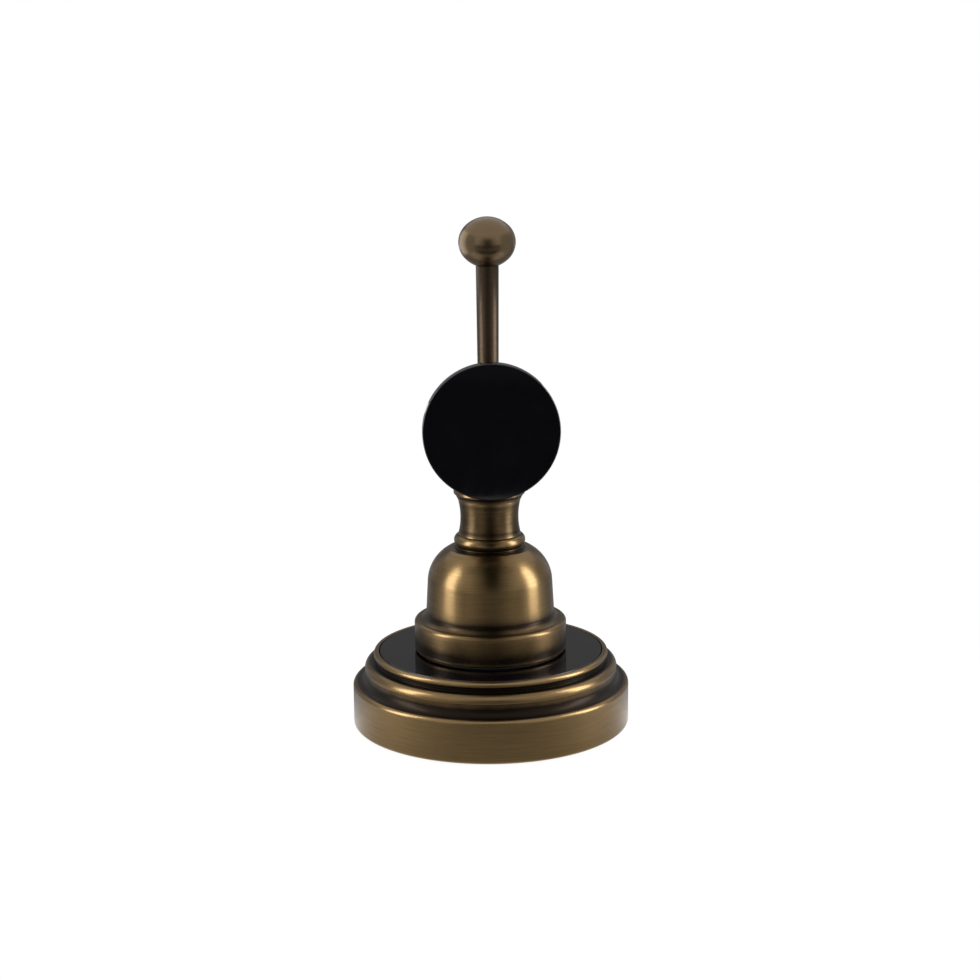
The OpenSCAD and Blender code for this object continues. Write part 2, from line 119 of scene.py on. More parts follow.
def outline(*parts):
    """Joins corners (r, z), rounded corners (r, z, rounding) and arcs into one line of points."""
    ends = [np.atleast_2d(np.array(part, float))[:, :2] for part in parts]
    joined = []
    for i, part in enumerate(parts):
        if isinstance(part, tuple) and len(part) == 3:
            joined.append(rounded(ends[i - 1][-1], ends[i][0], ends[(i + 1) % len(parts)][0], part[2]))
        else:
            joined.append(ends[i])
    return np.vstack(joined)


print("an arc of a quarter turn has", len(arc((0, 0), 1, 0, 90)), "points")

# %% [markdown]
# ## Rows along an outline
#
# Turning an outline round the axis gives a grid: one parameter runs along the outline, the other round the
# axis. Smooth shading bends the light over long flat stretches, unless extra rows lie close beside each
# corner. A Subdivision Surface would need the same rows, so they are put in here.

# %% Rows along an outline
SUPPORT = 0.05
ROW_STEP = 0.8
TINY = 1e-6


def spaced(points, step, closed):
    """The same line with more rows: the old points, one row beside the ends of each straight stretch, and a
    row every step. Returns the points and their length along the line."""
    line = np.vstack([points, points[:1]]) if closed else points
    length = np.concatenate([[0], np.cumsum(np.linalg.norm(np.diff(line, axis=0), axis=1))])
    keep = np.concatenate([[True], np.diff(length) > TINY])
    line, length = line[keep], length[keep]
    long = np.diff(length) > 4 * SUPPORT
    extra = np.concatenate([
        length[:-1][long] + SUPPORT,
        length[1:][long] - SUPPORT,
        np.arange(step, length[-1], step),
    ])
    extra = extra[np.abs(extra[:, None] - length[None, :]).min(axis=1) > SUPPORT / 2]
    rows = np.sort(np.concatenate([length, extra]))
    if closed:
        rows = rows[:-1]
    return np.column_stack([np.interp(rows, length, line[:, 0]), np.interp(rows, length, line[:, 1])]), rows


print("rows for a 10 mm line:", len(spaced(np.array([[0.0, 0.0], [0.0, 10.0]]), ROW_STEP, False)[1]))

# %% [markdown]
# ## Hollows and beads
#
# Patina stays in hollows, and handling wears the beads. Blender's Pointiness could tell them apart, but it
# changes with the mesh, so the outline is measured. A polishing wheel can't reach what stands close behind a
# step: the hollow grows with the angle under which metal on both sides rises above a point. On a bead the
# number is negative.

# %% Hollows and beads
NEIGHBOUR = 0.6
BULGE_DEPTH = 0.3
REACH = 3.0
SHELTER_FULL = 0.2


def facing(points, along):
    """Unit tangents of an outline and its outward normals, the tangents turned a quarter to the right."""
    tangent = np.gradient(points, along, axis=0)
    tangent /= np.linalg.norm(tangent, axis=1, keepdims=True)
    return tangent, np.column_stack([tangent[:, 1], -tangent[:, 0]])


def shelter_of(points, along, beside, reach):
    """The share of the half turn over each point that metal nearby hides, on this outline or one beside it:
    the steepest rises ahead and behind, each weakened by a bell curve of the distance, over half a turn."""
    tangent, normal = facing(points, along)
    gap = np.vstack([points, *beside])[None] - points[:, None]
    away = np.linalg.norm(gap, axis=2)
    ahead = np.einsum("ijk,ik->ij", gap, tangent)
    above = np.einsum("ijk,ik->ij", gap, normal)
    rise = np.arctan2(above, np.abs(ahead)) * np.exp(-(away / reach) ** 2)
    rise[away < SUPPORT] = 0
    before = np.where(ahead < 0, rise, 0).max(axis=1)
    after = np.where(ahead > 0, rise, 0).max(axis=1)
    return (before + after) / np.pi


def bulge_of(points, along):
    """How far each point stands out beyond the average of its neighbours, which a bell curve of the length
    between them weighs."""
    normal = facing(points, along)[1]
    nearness = np.exp(-0.5 * ((along[:, None] - along[None, :]) / NEIGHBOUR) ** 2)
    weight = nearness * np.gradient(along)[None, :]
    average = weight @ points / weight.sum(axis=1, keepdims=True)
    return ((points - average) * normal).sum(axis=1)


def hollow_of(points, along, beside, reach):
    """From -1 on a sharp bulge to 1 in a full hollow: the shelter less the bulge."""
    shelter = np.minimum(shelter_of(points, along, beside, reach) / SHELTER_FULL, 1)
    bulge = np.clip(bulge_of(points, along) / BULGE_DEPTH, 0, 1)
    return shelter - bulge


print("a full hollow hides", SHELTER_FULL, "of the half turn over a point")

# %% [markdown]
# ## From grid to mesh
#
# A grid becomes a mesh in one go: the faces are the array of point numbers next to itself, moved by one row
# and one column. A loop over the faces would be slow. The mesh also carries a UV map, in which one direction
# follows the turning, and two numbers for the finish: the length along the outline and the hollow.

# %% Faces of a grid


def grid_faces(grid, along, closed):
    """The faces between neighbouring rows and columns. Beside a pole, a row shrunk to one point, a face
    keeps three corners. Returns the points in use, all corners in order, the corners per face and each
    corner's UV: its share of a turn and its length along the outline."""
    rows, columns = grid.shape[:2]
    number = np.arange(rows * columns).reshape(rows, columns)
    pole = np.ptp(grid, axis=1).max(axis=1) < TINY
    number[pole] = number[pole][:, :1]
    low = np.arange(rows if closed else rows - 1)
    high = (low + 1) % rows
    right = (np.arange(columns) + 1) % columns
    below, above = number[low], number[high]
    ids = np.stack([below, below[:, right], above[:, right], above], axis=-1)
    keep = np.ones(ids.shape, bool)
    keep[pole[low], :, 1] = False
    keep[pole[high], :, 2] = False
    length = np.append(along, along[-1] + np.linalg.norm(grid[0, 0] - grid[-1, 0]))
    turn = (np.arange(columns)[:, None] + np.array([0, 1, 1, 0])) / columns
    level = length[low[:, None] + np.array([0, 0, 1, 1])]
    uvs = np.stack(np.broadcast_arrays(turn[None], level[:, None]), axis=-1)
    used, corners = np.unique(ids[keep], return_inverse=True)
    return used, corners.astype(np.int32), keep.sum(axis=-1).ravel(), uvs[keep]


cone = np.array([[[0, 0, 2]] * 3, np.eye(3)])
print("corners of a cone's faces:", grid_faces(cone, np.arange(2), False)[2].tolist())

# %% [markdown]
# ### The mesh and its place
#
# The method foreach_set fills a mesh array by array, the fast way into Blender. Points are in millimetres
# until here and in metres from here on. A finished piece rides on the body that moves it and stands for the
# solid in its place.

# %% Mesh and piece
AROUND = 160
BESIDE_STEP = 0.4
NONE_KEPT = ((0, 0),)


def grid_mesh(name, grid, along, hollow, closed):
    """A mesh from a grid of points in mm, rows along the outline and columns round the axis."""
    used, corners, sides, uvs = grid_faces(grid, along, closed)
    mesh = bpy.data.meshes.new(name)
    mesh.vertices.add(len(used))
    mesh.vertices.foreach_set("co", (grid.reshape(-1, 3)[used] * MM).astype(np.float32).ravel())
    mesh.loops.add(len(corners))
    mesh.loops.foreach_set("vertex_index", corners)
    mesh.polygons.add(len(sides))
    mesh.polygons.foreach_set("loop_start", (np.cumsum(sides) - sides).astype(np.int32))
    mesh.polygons.foreach_set("use_smooth", np.ones(len(sides), bool))
    mesh.update(calc_edges=True)
    mesh.uv_layers.new(name="turning").data.foreach_set("uv", uvs.astype(np.float32).ravel())
    for key, values in {"along": along, "hollow": hollow}.items():
        attribute = mesh.attributes.new(key, "FLOAT", "POINT")
        attribute.data.foreach_set("value", np.repeat(values, grid.shape[1])[used].astype(np.float32))
    mesh.validate()
    mesh.update()
    return mesh


def round_grid(radii, heights, angle):
    """Points round the Z axis: x = r cos(angle), y = r sin(angle), and z the height of the row."""
    z = np.broadcast_to(heights[:, None], radii.shape)
    return np.stack([radii * np.cos(angle), radii * np.sin(angle), z], axis=-1)


def revolve(points, closed=True, step=ROW_STEP, around=AROUND, beside=(), kept=NONE_KEPT, reach=REACH):
    """Turns an outline round the Z axis. Returns the grid and each row's length along the outline and
    hollow. The hollow also takes a darkening listed by height: patina, and on the bell's flange painted
    shade."""
    points, along = spaced(points, step, closed)
    angle = np.linspace(0, 2 * np.pi, around, endpoint=False)
    grid = round_grid(np.tile(points[:, :1], around), points[:, 1], angle)
    dense = [spaced(other, BESIDE_STEP, True)[0] for other in beside]
    # Darkening by height goes into the hollow; on the bell's flange it is painted shade for the black ring's
    # reflection.
    darkening_here = np.interp(points[:, 1], *np.transpose(kept))
    return grid, along, hollow_of(points, along, dense, reach) + darkening_here


def place_piece(name, mesh, body, node, material):
    """Puts a mesh into the scene as a piece that rides on a body and stands for a CAD node."""
    piece = bpy.data.objects.new(name, mesh)
    scene.collection.objects.link(piece)
    mesh.materials.append(material)
    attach(piece, body)
    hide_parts(node)
    print(name, "has", len(mesh.polygons), "faces")
    return piece


def turned_piece(name, points, node, slot, material, closed=True, lay=None, **turning):
    """A piece of the hook turned from an outline; a function can lay its grid over or cut it."""
    grid, *rows = revolve(points, closed, **turning)
    grid = lay(grid) if lay else grid
    return place_piece(name, grid_mesh(name, grid, *rows, closed), "hook", node, material)


def box_mm(node):
    """Lowest and highest corner of a CAD node, in mm."""
    low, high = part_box(node)
    return np.array(low) / MM, np.array(high) / MM


print("a turned piece has", AROUND, "columns")

# %% [markdown]
# ## Finishes
#
# Every finish is a small tree of shader nodes. The helper adds one node and either sets its inputs or links
# them. A value that is the same all over a surface is set on the shader itself; only what varies is linked.

# %% Shader helpers


def srgb(red, green, blue):
    """A colour of 0 to 255 as seen on a screen, turned into linear light."""
    value = np.array([red, green, blue]) / 255
    linear = np.where(value <= 0.04045, value / 12.92, ((value + 0.055) / 1.055) ** 2.4)
    return (*linear.tolist(), 1.0)


def add(tree, kind, inputs=(), **settings):
    """Adds a shader node, named without its ShaderNode. An input is a value, or an output to link."""
    made = tree.nodes.new("ShaderNode" + kind)
    for key, value in settings.items():
        setattr(made, key, value)
    for key, value in dict(inputs).items():
        if isinstance(value, bpy.types.NodeSocket):
            tree.links.new(value, made.inputs[key])
        else:
            made.inputs[key].default_value = value
    return made


def new_finish(name, **constants):
    """A material with constant shader inputs, its tree, its shader and the object's coordinates."""
    material = bpy.data.materials.new(name)
    material.use_nodes = True
    tree = material.node_tree
    shader = tree.nodes["Principled BSDF"]
    for key, value in constants.items():
        shader.inputs[key.replace("_", " ")].default_value = value
    return material, tree, shader, add(tree, "TexCoord").outputs["Object"]


def feed(tree, shader, **outputs):
    """Links outputs to the shader's inputs of the same names."""
    for key, output in outputs.items():
        tree.links.new(output, shader.inputs[key.replace("_", " ")])


def bumped(tree, height, strength, depth):
    """A normal that tilts where the height changes, for marks too fine to model."""
    inputs = {"Height": height, "Strength": strength, "Distance": depth}
    return add(tree, "Bump", inputs).outputs["Normal"]


def noise(tree, vector, scale, detail=2.0, roughness=0.5):
    """A soft random value between 0 and 1 at each point."""
    inputs = {"Vector": vector, "Scale": scale, "Detail": detail, "Roughness": roughness}
    return add(tree, "TexNoise", inputs).outputs["Fac"]


def mapped(tree, value, low, high, to_low, to_high):
    """A value moved from one range to another, kept inside the new range."""
    inputs = {"Value": value, "From Min": low, "From Max": high, "To Min": to_low, "To Max": to_high}
    return add(tree, "MapRange", inputs).outputs["Result"]


def combined(tree, operation, first, second):
    """Two values put together by one sum, product or other operation."""
    return add(tree, "Math", {0: first, 1: second}, operation=operation).outputs["Value"]


def blended(tree, share, first, second):
    """A colour between two others: a Mix node's sockets 6 and 7 go in, and its output 2 comes out."""
    return add(tree, "Mix", {"Factor": share, 6: first, 7: second}, data_type="RGBA").outputs[2]


print("mid grey in linear light:", round(srgb(128, 128, 128)[0], 3))

# %% [markdown]
# ### Antique brass
#
# Antique brass was darkened in a bath, brushed on the lathe and lacquered. It has fine lines round the axis,
# a dark brown in the hollows and a paler metal on the beads. The lines are noise that takes x and y slowly
# and the length along the outline quickly; a picture of brushed metal would show a seam. They make the metal
# rougher up and down than round, so a lamp's reflection stretches along the outline: that is the shader's
# anisotropy, with the tangent from the piece's own UV map.

# %% Antique brass
PATINA = srgb(32, 25, 19)
BRUSH_ROUND = 110.0
BRUSH_ACROSS = 3.2
MID_NOISE = (0.3, 0.7)
DRIFT = 0.12
PATINA_RANGE = (0.15, 0.75)
PATINA_ROUGHER = 0.12
WORN_RANGE = (0.25, 0.9)
WORN_MOST = 0.8


def antique_brass(name, metal, worn_metal, roughness, anisotropy, brush):
    """Brushed metal whose colour follows the hollow attribute and whose lines follow the along attribute."""
    material, tree, shader, place = new_finish(
        name, Metallic=1.0, Anisotropic=anisotropy, Anisotropic_Rotation=0.25,
        Coat_Weight=0.05, Coat_Roughness=0.2, Coat_IOR=1.5,
    )
    along = add(tree, "Attribute", attribute_name="along").outputs["Fac"]
    # The hollow holds patina in hollows and, on the bell's flange, painted shade given by height.
    hollow = add(tree, "Attribute", attribute_name="hollow").outputs["Fac"]
    across = add(tree, "CombineXYZ", {"Z": combined(tree, "MULTIPLY", along, BRUSH_ACROSS)})
    stretched = add(tree, "VectorMath", {
        0: place, 1: (BRUSH_ROUND, BRUSH_ROUND, 0), 2: across.outputs["Vector"],
    }, operation="MULTIPLY_ADD")
    lines = noise(tree, stretched.outputs["Vector"], scale=1.0, detail=4.0, roughness=0.7)
    cloud = noise(tree, place, scale=130.0, detail=4.0, roughness=0.6)
    drift = mapped(tree, cloud, *MID_NOISE, -DRIFT, DRIFT)
    patina = mapped(tree, combined(tree, "ADD", hollow, drift), *PATINA_RANGE, 0.0, 1.0)
    worn = mapped(tree, combined(tree, "SUBTRACT", drift, hollow), *WORN_RANGE, 0.0, WORN_MOST)
    ground = blended(tree, mapped(tree, lines, *MID_NOISE, 0.0, brush), metal, PATINA)
    colour = blended(tree, worn, blended(tree, patina, ground, PATINA), worn_metal)
    matte = combined(tree, "MULTIPLY", patina, PATINA_ROUGHER)
    rough = combined(tree, "ADD", mapped(tree, lines, *MID_NOISE, *roughness), matte)
    tangent = add(tree, "Tangent", direction_type="UV_MAP", uv_map="turning").outputs["Tangent"]
    bump = bumped(tree, lines, strength=0.1, depth=0.03 * MM)
    feed(tree, shader, Base_Color=colour, Roughness=rough, Normal=bump, Tangent=tangent)
    return material


brass_finish = antique_brass("antique_brass", srgb(122, 100, 67), srgb(144, 120, 84),
                             roughness=(0.27, 0.33), anisotropy=0.6, brush=0.3)
knob_finish = antique_brass("satin_brass", srgb(110, 93, 71), srgb(120, 102, 79),
                            roughness=(0.27, 0.33), anisotropy=0.0, brush=0.1)
peg_finish = antique_brass("dark_brass", srgb(68, 57, 45), srgb(78, 66, 52),
                           roughness=(0.40, 0.48), anisotropy=0.0, brush=0.1)
print("antique brass has", len(brass_finish.node_tree.nodes), "nodes")

# %% [markdown]
# ### Black glass
#
# The ring and the disc are opaque black glass, polished on every side. Almost all that shows is reflection,
# so a near-black body under a clear gloss is enough; a see-through shader would only cost time. Handled
# glass is never even, so a faint cloud changes its roughness.

# %% Black glass
CLOUD_RANGE = (0.35, 0.75)
GLASS_ROUGHNESS = (0.03, 0.09)


def black_glass():
    """Near-black body, glossy, with a faint cloud of handling in its roughness and tone."""
    material, tree, shader, place = new_finish("black_glass", Metallic=0.0, IOR=1.5)
    cloud = noise(tree, place, scale=160.0, detail=5.0, roughness=0.6)
    colour = blended(tree, cloud, srgb(1, 1, 2), srgb(6, 6, 9))
    feed(tree, shader, Base_Color=colour, Roughness=mapped(tree, cloud, *CLOUD_RANGE, *GLASS_ROUGHNESS))
    return material


glass_finish = black_glass()
print("black glass has", len(glass_finish.node_tree.nodes), "nodes")

# %% [markdown]
# ### Zinc, black steel and rubber
#
# The fixings are seen only when the hook is lifted off or turned over: pale, bluish zinc plating with a
# crystalline cloud, oiled black screws, and two cushions cut from rubber sheet. Two tones and a fine bump
# are enough for pieces this small; a picture of each would show nothing more.

# %% Fixing finishes
SPECK_FINER = 9
RUBBER_ROUGHNESS = (0.65, 0.85)


def plated_steel(name, pale, dark, grain, roughness):
    """Metal with a cloudy plating in two tones and a faint grain."""
    material, tree, shader, place = new_finish(name, Metallic=1.0)
    cloud = noise(tree, place, scale=grain, detail=6.0, roughness=0.65)
    speck = noise(tree, place, scale=grain * SPECK_FINER)
    bump = bumped(tree, speck, strength=0.15, depth=0.02 * MM)
    colour = blended(tree, cloud, pale, dark)
    feed(tree, shader, Base_Color=colour, Roughness=mapped(tree, cloud, *MID_NOISE, *roughness), Normal=bump)
    return material


def sheet_rubber():
    """Matte black rubber with a fine grain and a dusty bloom."""
    material, tree, shader, place = new_finish("black_rubber", Metallic=0.0)
    grain = noise(tree, place, scale=5000.0, detail=3.0)
    bloom = noise(tree, place, scale=200.0, detail=4.0)
    bump = bumped(tree, grain, strength=0.3, depth=0.03 * MM)
    colour = blended(tree, bloom, srgb(24, 24, 25), srgb(46, 45, 44))
    rough = mapped(tree, bloom, *MID_NOISE, *RUBBER_ROUGHNESS)
    feed(tree, shader, Base_Color=colour, Roughness=rough, Normal=bump)
    return material


zinc_finish = plated_steel("zinc_steel", srgb(188, 191, 196), srgb(150, 154, 162),
                           grain=400.0, roughness=(0.28, 0.42))
dark_finish = plated_steel("dark_steel", srgb(62, 62, 64), srgb(34, 34, 36),
                           grain=900.0, roughness=(0.3, 0.45))
rubber_finish = sheet_rubber()
print("fixing finishes:", zinc_finish.name, dark_finish.name, rubber_finish.name)

# %% [markdown]
# ## The glass ring
#
# A flat ring of black glass lies in the rose's recess, level with the rim, its outer edges polished round.
# Two cylinders and a Boolean would make it, but four corners turned round the axis are less work.

# %% The glass ring
SOFT = 0.12
RING_EDGE = 0.15
RING_WIDTH = 13.03

ring_low, ring_high = box_mm("inlay_ring")
ring_inner = ring_high[0] - RING_WIDTH
ring_line = outline(
    (ring_inner, ring_low[2], SOFT), (ring_high[0], ring_low[2], RING_EDGE),
    (ring_high[0], ring_high[2], RING_EDGE), (ring_inner, ring_high[2], SOFT),
)
turned_piece("glass_ring", ring_line, "inlay_ring", "black_glass", glass_finish)

# %% [markdown]
# ## The rose
#
# The rose is the stepped foot on the wall: a drum, a cove, an ovolo (a convex quarter round), a narrow quirk
# and a rim bead round the recess for the glass. Below it is hollow, for the bracket. It could be stacked
# from rings, but the real one is turned in one piece, so one outline goes once round the metal. Radii and
# heights come from the frame's boxes; the mouldings' radii are the ones the solid was turned to.

# %% The rose
ROSE_STEP = 0.7
DRUM_EDGE = 0.8
DRUM_FOOT = 0.5
DRUM_H = 9.2
DRUM_WALL = 2.8
COVE = 1.8
OVOLO = 1.45
OVOLO_STEP = 2.6
OVOLO_LIP = 0.05
RIM_STEP = 4.55
RIM = 0.7
QUIRK_DEPTH = 0.55
QUIRK_H = 0.8
TIE_HOLE = 3.2
WEB_LEDGE = 3.7
BORE_LEAD = 0.4
CLEAR = 0.2
WEB = 2.6

rose_r, rose_top = box_mm("rose")[1][[0, 2]]
recess_z = box_mm("inlay_cushion")[0][2]
bracket_top = box_mm("wall_bracket")[1][2]


def rose_outline():
    """From the mouth of the bore up the outside, over the rim and down the inside."""
    cove_r = rose_r - OVOLO_STEP - OVOLO_LIP
    ovolo_r = rose_r - OVOLO_STEP - OVOLO
    rim_r = rose_r - RIM_STEP - RIM
    quirk_r = rose_r - RIM_STEP - QUIRK_DEPTH
    rim_z = rose_top - RIM
    ovolo_z = rim_z - RIM - QUIRK_H - OVOLO
    ovolo_start = -math.degrees(math.acos((cove_r - ovolo_r) / OVOLO))
    rim_start = -math.degrees(math.acos((quirk_r - rim_r) / RIM))
    recess_r = ring_high[0] + CLEAR
    bore_r = rose_r - DRUM_WALL
    web_r = bore_r - WEB_LEDGE
    web_z = recess_z - WEB
    return outline(
        (bore_r + BORE_LEAD, 0, SOFT), (rose_r, 0, DRUM_FOOT), (rose_r, DRUM_H, DRUM_EDGE),
        (cove_r, DRUM_H, COVE),
        arc((ovolo_r, ovolo_z), OVOLO, ovolo_start, 90),
        (quirk_r, ovolo_z + OVOLO, SOFT),
        arc((rim_r, rim_z), RIM, rim_start, 90),
        (recess_r, rose_top, SOFT), (recess_r, recess_z, SOFT), (TIE_HOLE, recess_z, SOFT),
        (TIE_HOLE, web_z, SOFT), (web_r, web_z, SOFT), (web_r, bracket_top + CLEAR, SOFT),
        (bore_r, bracket_top + CLEAR, SOFT), (bore_r, BORE_LEAD, SOFT),
    )


rose_piece = turned_piece("rose_shell", rose_outline(), "rose", "antique_brass", brass_finish,
                          step=ROSE_STEP, beside=[ring_line])

# %% [markdown]
# ### The grub screw's hole
#
# A lathe can't make a hole in the drum's side, and neither can a turned grid. A drill can: a thin cylinder
# along +Y is taken out of the finished surface by Blender's Boolean modifier, whose result then becomes the
# mesh.

# %% The grub screw's hole
DRILL_CLEAR = 0.05
DRILL_PAST = 1.0
DRILL_STEP = 2.0
DRILL_AROUND = 62
SHARP_EDGE = math.radians(35)

grub_low, grub_high = box_mm("rose_grub_screw")
grub_r = (grub_high[0] - grub_low[0]) / 2
grub_z = (grub_high[2] + grub_low[2]) / 2


def along_back(grid, height):
    """Lays a grid made along +Z along +Y at a height: x stays, z becomes y, y becomes height minus y."""
    return np.stack([grid[..., 0], grid[..., 2], height - grid[..., 1]], axis=-1)


drill_r = grub_r + DRILL_CLEAR
drill_tip = rose_r - 2 * DRUM_WALL
drill_end = rose_r + DRILL_PAST
drill_line = outline((0, drill_tip), (drill_r, drill_tip), (drill_r, drill_end), (0, drill_end))
drill_grid, *drill_rows = revolve(drill_line, closed=False, step=DRILL_STEP, around=DRILL_AROUND)
drill = bpy.data.objects.new("drill", grid_mesh("drill", along_back(drill_grid, grub_z), *drill_rows, False))
scene.collection.objects.link(drill)
cut = rose_piece.modifiers.new("grub_hole", "BOOLEAN")
cut.object = drill
cut.solver = "EXACT"
drilled = bpy.data.meshes.new_from_object(rose_piece.evaluated_get(bpy.context.evaluated_depsgraph_get()))
rose_piece.modifiers.clear()
rose_piece.data = drilled
drilled.set_sharp_from_angle(angle=SHARP_EDGE)
bpy.data.objects.remove(drill)
print("drilled rose has", len(drilled.polygons), "faces")

# %% [markdown]
# ## The bell
#
# The bell is a domed shell on a flange. Its wall leans in a little, a cove joins it to the flange, and a low
# raised land on top carries the bead. A scaled half sphere on a cylinder would show a kink, so the dome is
# an arc that starts where the leaning wall touches it.

# %% The bell
FLANGE_H = 6.7
FLANGE_EDGE = 0.75
FLANGE_FOOT = 0.5
BELL_COVE = 1.7
BELL_FOOT_R = 13.95
BELL_SPRING_R = 13.47
BELL_WALL_H = 8.1
BELL_WALL = 2.2
DOME = 8.45
LAND_R = 7.1
LAND_H = 0.5

bell_low, bell_high = box_mm("bell")
flange_top = bell_low[2] + FLANGE_H


def bell_outline():
    """From the bore out over the flange, up the wall and dome, and down the inside. The wall touches the
    dome at acos(dome radius / distance of the foot) less the slope from the foot."""
    flange_r = bell_high[0]
    spring_z = flange_top + BELL_WALL_H
    dome_mid = BELL_SPRING_R - DOME
    top = bell_high[2]
    bore_r = BELL_SPRING_R - BELL_WALL
    foot_out = BELL_FOOT_R - dome_mid
    foot_slope = math.atan2(BELL_WALL_H, foot_out)
    dome_start = math.degrees(math.acos(DOME / math.hypot(foot_out, BELL_WALL_H)) - foot_slope)
    dome_end = math.degrees(math.asin((top - LAND_H - spring_z) / DOME))
    inner = DOME - BELL_WALL
    inner_end = math.degrees(math.asin((top - BELL_WALL - spring_z) / inner))
    return outline(
        (bore_r, bell_low[2], SOFT), (flange_r, bell_low[2], FLANGE_FOOT),
        (flange_r, flange_top, FLANGE_EDGE), (BELL_FOOT_R, flange_top, BELL_COVE),
        arc((dome_mid, spring_z), DOME, dome_start, dome_end),
        (LAND_R, top - LAND_H, SOFT), (LAND_R, top, SOFT),
        (TIE_HOLE, top, SOFT), (TIE_HOLE, top - BELL_WALL, SOFT),
        arc((dome_mid, spring_z), inner, inner_end, 0),
    )


bell_line = bell_outline()
print("the bell's outline has", len(bell_line), "points")

# %% [markdown]
# ## Bead and neck
#
# The neck is a spool with a hollow waist. It stands on a bead, whose outline is a half circle as high as the
# bead. A torus would give the bead a hole that is too wide, so both are outlines that start and end at the
# tie rod's hole.

# %% Bead and neck
WAIST = 15.0


def bead_outline(low, high, out_r):
    """A disc with a half-round rim and the tie rod's hole."""
    half = (high - low) / 2
    rim = arc((out_r - half, low + half), half, -90, 90)
    return outline((TIE_HOLE, low, SOFT), rim, (TIE_HOLE, high, SOFT))


def neck_outline(low, high, end_r):
    """A spool whose side is an arc that bends inwards: the waist's circle lies outside the metal."""
    half = (high - low) / 2
    swing = math.degrees(math.asin(half / WAIST))
    centre = (end_r + math.sqrt(WAIST ** 2 - half ** 2), low + half)
    side = arc(centre, WAIST, 180 + swing, 180 - swing)
    return outline((TIE_HOLE, low, SOFT), side, (TIE_HOLE, high, SOFT))


collar_low, collar_high = box_mm("lower_collar")
neck_low, neck_high = box_mm("neck")
bead_line = bead_outline(collar_low[2], collar_high[2], collar_high[0])
neck_line = neck_outline(neck_low[2], neck_high[2], neck_high[0])
print("the neck is", round(neck_high[2] - neck_low[2], 2), "mm high")

# %% [markdown]
# ## The lip and its cup
#
# Above the neck a lip flares out and carries a small cup, hollowed like a saucer, in which the ball hub
# sits. A Boolean with a ball could cut the saucer; its arc has the ball's own centre instead, so the two fit
# with the same gap all over.

# %% The lip and its cup
CUP_R = 6.5
CUP_HOLLOW = 3.4
LIP_H = 2.2
LIP_EDGE_H = 1.0
LIP_EDGE = 0.3
PEG_FLAT = 2.8
SEAT_CLEAR = 0.05

lip_low, lip_high = box_mm("upper_collar")
hub_high = box_mm("head_ball")[1]
hub_r = hub_high[0]
hub_z = hub_high[2] - math.sqrt(hub_r ** 2 - PEG_FLAT ** 2)


def lip_outline():
    """A flaring cone, a rounded edge, a hollow wall whose circle lies outside the metal, the hub's
    saucer."""
    lip_r = lip_high[0] - LIP_EDGE
    cup_z = lip_low[2] + LIP_H
    rise = (lip_high[2] - cup_z) / 2
    swing = math.degrees(math.asin(rise / CUP_HOLLOW))
    centre = (CUP_R + math.sqrt(CUP_HOLLOW ** 2 - rise ** 2), cup_z + rise)
    seat_r = hub_r + SEAT_CLEAR
    seat_start = -math.degrees(math.acos(CUP_R / seat_r))
    seat_end = -math.degrees(math.acos(TIE_HOLE / seat_r))
    return outline(
        (TIE_HOLE, lip_low[2], SOFT), (neck_high[0], lip_low[2]),
        arc((lip_r, cup_z - LIP_EDGE_H + LIP_EDGE), LIP_EDGE, -90, 0),
        arc((lip_r, cup_z - LIP_EDGE), LIP_EDGE, 0, 90),
        arc(centre, CUP_HOLLOW, 180 + swing, 180 - swing),
        arc((0, hub_z), seat_r, seat_start, seat_end),
    )


lip_line = lip_outline()
print("the lip's outline has", len(lip_line), "points")

# %% [markdown]
# ### Turning the stack
#
# Dirt and patina gather where two pieces meet, so a piece can be turned with its neighbours' outlines beside
# it. More darkening is given by height: the bell's flange is painted darker, most towards its foot, as
# painted shade for the black ring's reflection; the cove above it holds patina; the neck is darker, most at
# both ends, and the lip is darker all over. It could be painted by hand, but a lathe works at one height at
# a time, so the amounts are given by height. A narrow reach keeps the brown close to its corner.

# %% Turning the stack
FINE_STEP = 0.5
NARROW_REACH = 0.65
# The flange rows are painted shade, darker towards its foot for the black ring's reflection; the cove rows
# above are patina.
BELL_PATINA_AND_SHADE = (
    (bell_low[2], 1.0), (bell_low[2] + 1.8, 0.75), (bell_low[2] + 3.4, 0.45), (flange_top - 0.3, 0.3),
    (flange_top + 0.1, 0.1), (flange_top + 1.3, 0.7), (flange_top + 2.6, 0.35), (flange_top + 4.7, 0),
)
NECK_KEPT = (
    (neck_low[2], 0.82), (neck_low[2] + 1.5, 0.36), (neck_high[2] - 1.5, 0.36), (neck_high[2], 0.64),
)
LIP_KEPT = ((0, 0.62),)
STACK = {
    "bell_shell": ("bell", bell_line, [bead_line], BELL_PATINA_AND_SHADE, NARROW_REACH),
    "lower_bead": ("lower_collar", bead_line, [bell_line, neck_line], NONE_KEPT, REACH),
    "neck_spool": ("neck", neck_line, [], NECK_KEPT, REACH),
    "flared_lip": ("upper_collar", lip_line, [], LIP_KEPT, NARROW_REACH),
}
for stack_name, (stack_node, stack_line, neighbours, kept, reach) in STACK.items():
    turned_piece(stack_name, stack_line, stack_node, "antique_brass", brass_finish,
                 step=FINE_STEP, beside=neighbours, kept=kept, reach=reach)

# %% [markdown]
# ## The ball hub
#
# The hub is a ball with a flat in front for the disc's plate and a small flat on top for the peg. A UV
# sphere would have its poles where the holes are. So it is turned round the post's axis, holes and all, and
# the front flat is cut by holding every point back to the flat's plane.

# %% The ball hub
SPIGOT_HOLE = 2.0
TIE_THREAD = 3.05

plate_low, plate_high = box_mm("disc_backplate")
tie_low, tie_high = box_mm("tie_rod")
peg_low, peg_high = box_mm("peg_rod")


